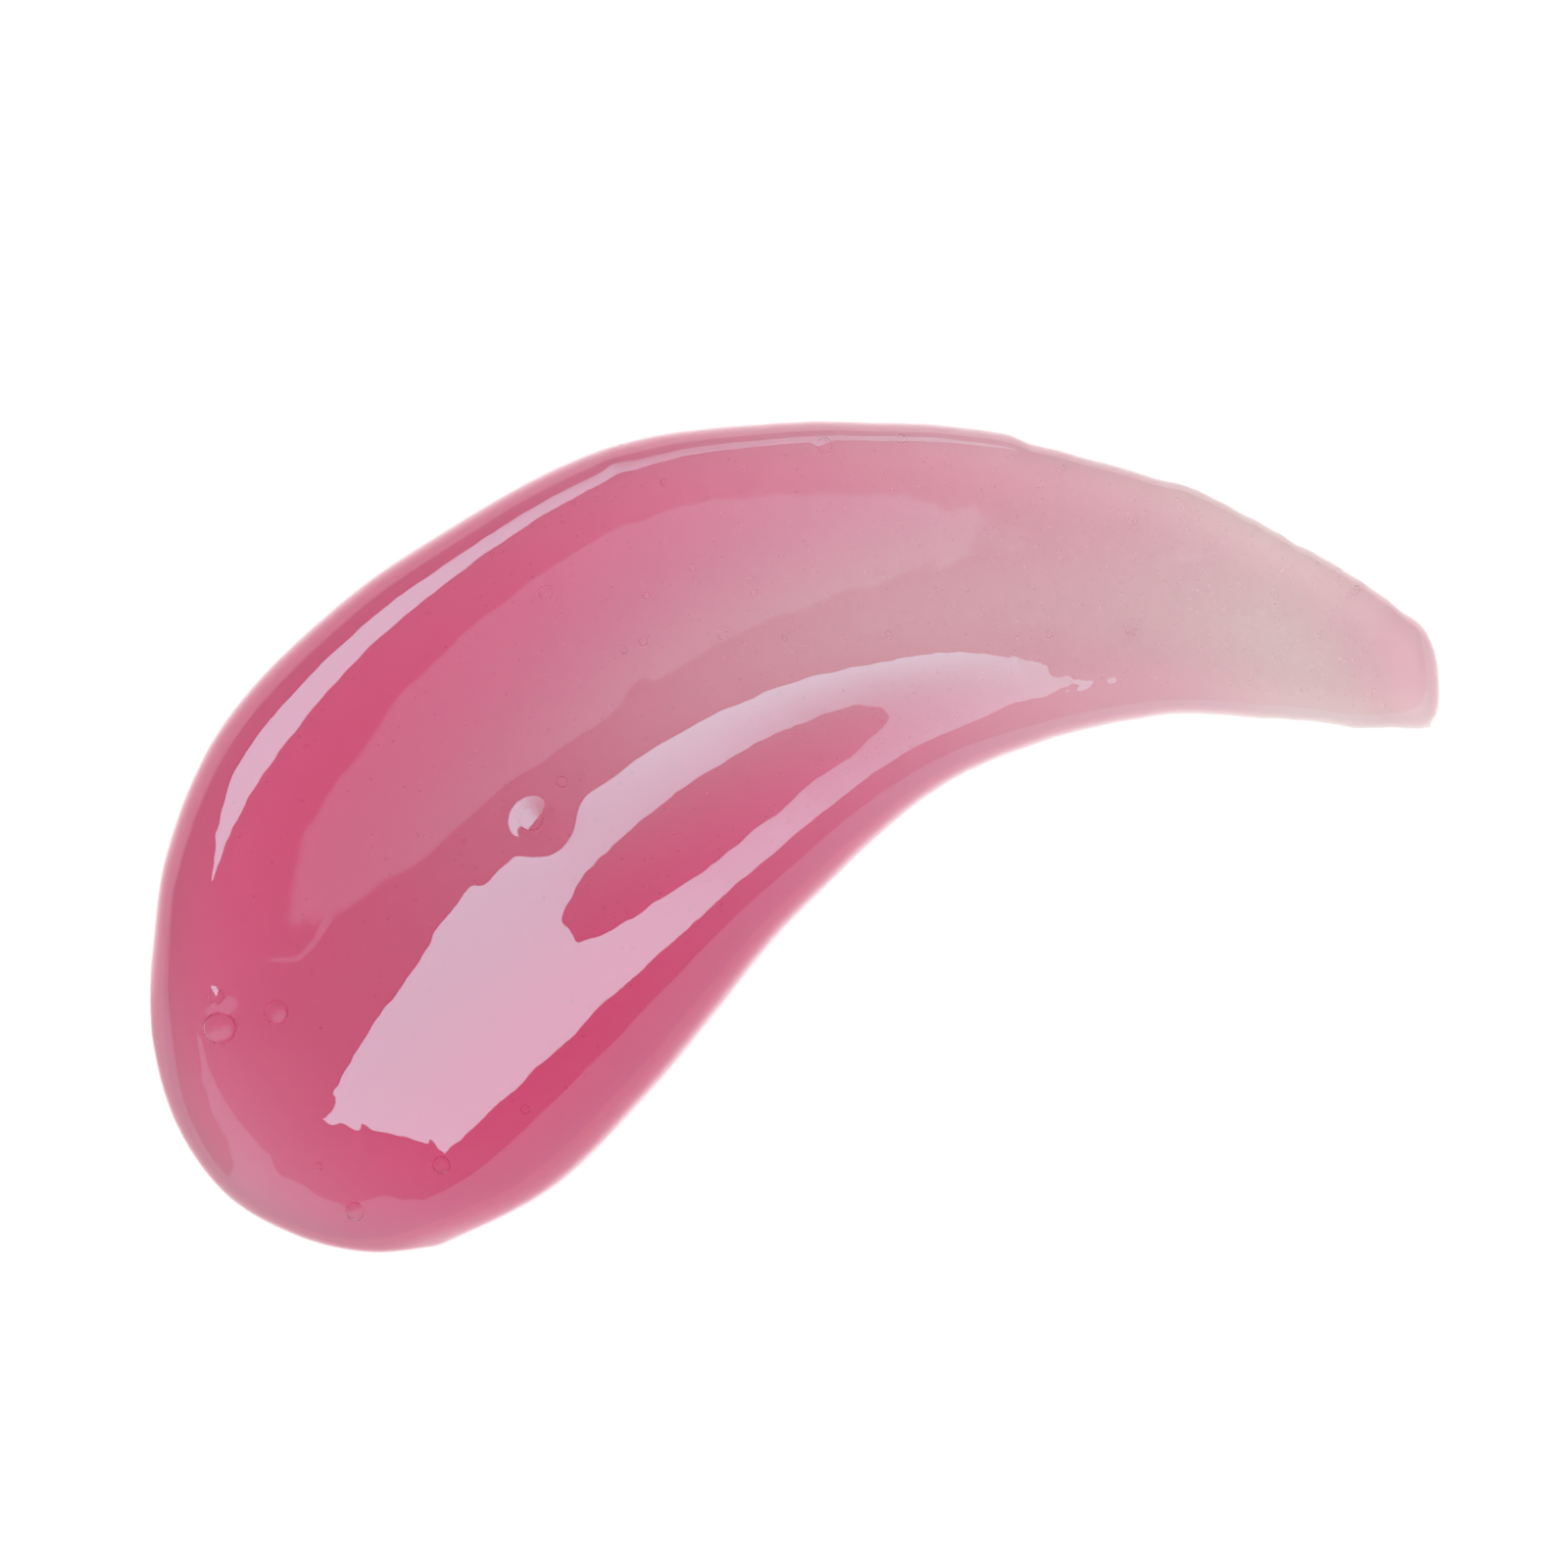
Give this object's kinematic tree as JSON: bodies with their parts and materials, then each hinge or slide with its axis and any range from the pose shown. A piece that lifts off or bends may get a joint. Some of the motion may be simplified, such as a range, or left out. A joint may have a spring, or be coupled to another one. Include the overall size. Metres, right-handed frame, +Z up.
{
  "type": "lip gloss smear",
  "caption": "Comma-shaped smear of clear pink lip gloss, thick at the head and drawn out to a thin tail, with trapped air bubbles.",
  "frame": {"origin": "centre of the bounding box at the underside, where the smear lies on its surface", "axes": "+X from the head to the tail along the longest extent, +Y towards the convex upper edge, +Z up out of the surface"},
  "size_m": [0.042, 0.0272, 0.0035],
  "materials": {
    "gloss": "wet gloss",
    "air": "clear"
  },
  "bodies": {
    "root": {"gel": "gloss", "bubble_dome": "air", "bubble_beside_dome": "air", "bubble_head_upper": "air", "bubble_head_left": "air", "bubble_head_inner": "air", "bubble_head_low": "air", "bubble_head_right": "air", "bubble_head_corner": "air", "bubble_head_foot": "air", "bubble_rim_long": "air", "bubble_rim_middle": "air", "bubble_rim_end": "air", "bubble_rim_below": "air", "bubble_trough_pale": "air", "bubble_trough_left": "air", "bubble_trough_centre": "air", "bubble_trough_right": "air", "bubble_trough_high": "air", "bubble_trough_far": "air", "bubble_trough_side": "air", "bubble_trough_low": "air", "bubble_tail_first": "air", "bubble_tail_second": "air", "bubble_tail_upper": "air", "bubble_tail_edge": "air", "bubble_tail_lower": "air", "bubble_tail_last": "air"}
  },
  "joints": []
}
